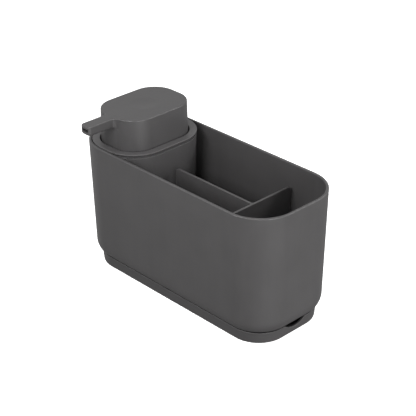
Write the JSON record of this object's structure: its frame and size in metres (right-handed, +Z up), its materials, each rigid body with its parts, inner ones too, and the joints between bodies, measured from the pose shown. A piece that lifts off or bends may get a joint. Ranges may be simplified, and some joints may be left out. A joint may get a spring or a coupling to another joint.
{
  "type": "sink organizer",
  "caption": "Rounded grey sink caddy with a lift-out T divider, a slip-under drip tray and an inset soap bottle with a wide press-top pump and forward spout.",
  "frame": {"origin": "on the surface that the feet stand on, under the middle of the caddy's plan", "axes": "+X along the length with the pump at the -X end, -Y towards the front and the spout, +Z up"},
  "size_m": [0.23, 0.1169, 0.151],
  "materials": {
    "body_grey": "fine matte moulded grey",
    "tray_grey": "fine matte moulded grey",
    "divider_grey": "fine matte moulded grey",
    "bottle_grey": "fine matte moulded grey",
    "lid_grey": "fine matte moulded grey",
    "head_grey": "fine matte moulded grey",
    "collar_grey": "satin grey",
    "foot_rubber": "dull rubber",
    "gasket_silicone": "translucent silicone grey",
    "washer_foam": "foamed polyethylene",
    "pump_white": "white moulded plastic",
    "stem_white": "smooth white plastic",
    "pump_natural": "milky natural plastic",
    "tube_natural": "milky extruded tube",
    "spring_steel": "drawn stainless wire",
    "ball_steel": "polished ball"
  },
  "bodies": {
    "tray": {"drip_tray": "tray_grey", "foot_front_left": "foot_rubber", "foot_front_right": "foot_rubber", "foot_back_left": "foot_rubber", "foot_back_right": "foot_rubber"},
    "caddy": {"caddy_body": "body_grey"},
    "divider": {"divider": "divider_grey"},
    "bottle": {"soap_bottle": "bottle_grey"},
    "lid": {"bottle_lid": "lid_grey", "lid_gasket": "gasket_silicone", "neck_gasket": "washer_foam", "pump_cylinder": "pump_natural", "stem_guide": "pump_white", "pump_collar": "collar_grey", "return_spring": "spring_steel", "inlet_ball": "ball_steel", "dip_tube": "tube_natural"},
    "press": {"pump_head": "head_grey", "soap_channel": "pump_white", "pump_stem": "stem_white", "piston_rod": "pump_white", "pump_piston": "pump_natural"}
  },
  "joints": [
    {"name": "caddy_lift", "type": "slide", "parent": "tray", "child": "caddy", "axis": [0, 0, 1], "range_m": [0, 0.05]},
    {"name": "divider_lift", "type": "slide", "parent": "caddy", "child": "divider", "axis": [0, 0, 1], "range_m": [0, 0.11]},
    {"name": "bottle_lift", "type": "slide", "parent": "caddy", "child": "bottle", "axis": [0, 0, 1], "range_m": [0, 0.11]},
    {"name": "lid_lift", "type": "slide", "parent": "bottle", "child": "lid", "axis": [0, 0, 1], "range_m": [0, 0.105]},
    {"name": "press_stroke", "type": "slide", "parent": "lid", "child": "press", "axis": [0, 0, -1], "range_m": [0, 0.01], "stiffness_N_per_m": 500, "springref_m": -0.006, "deforming": ["return_spring"]}
  ]
}
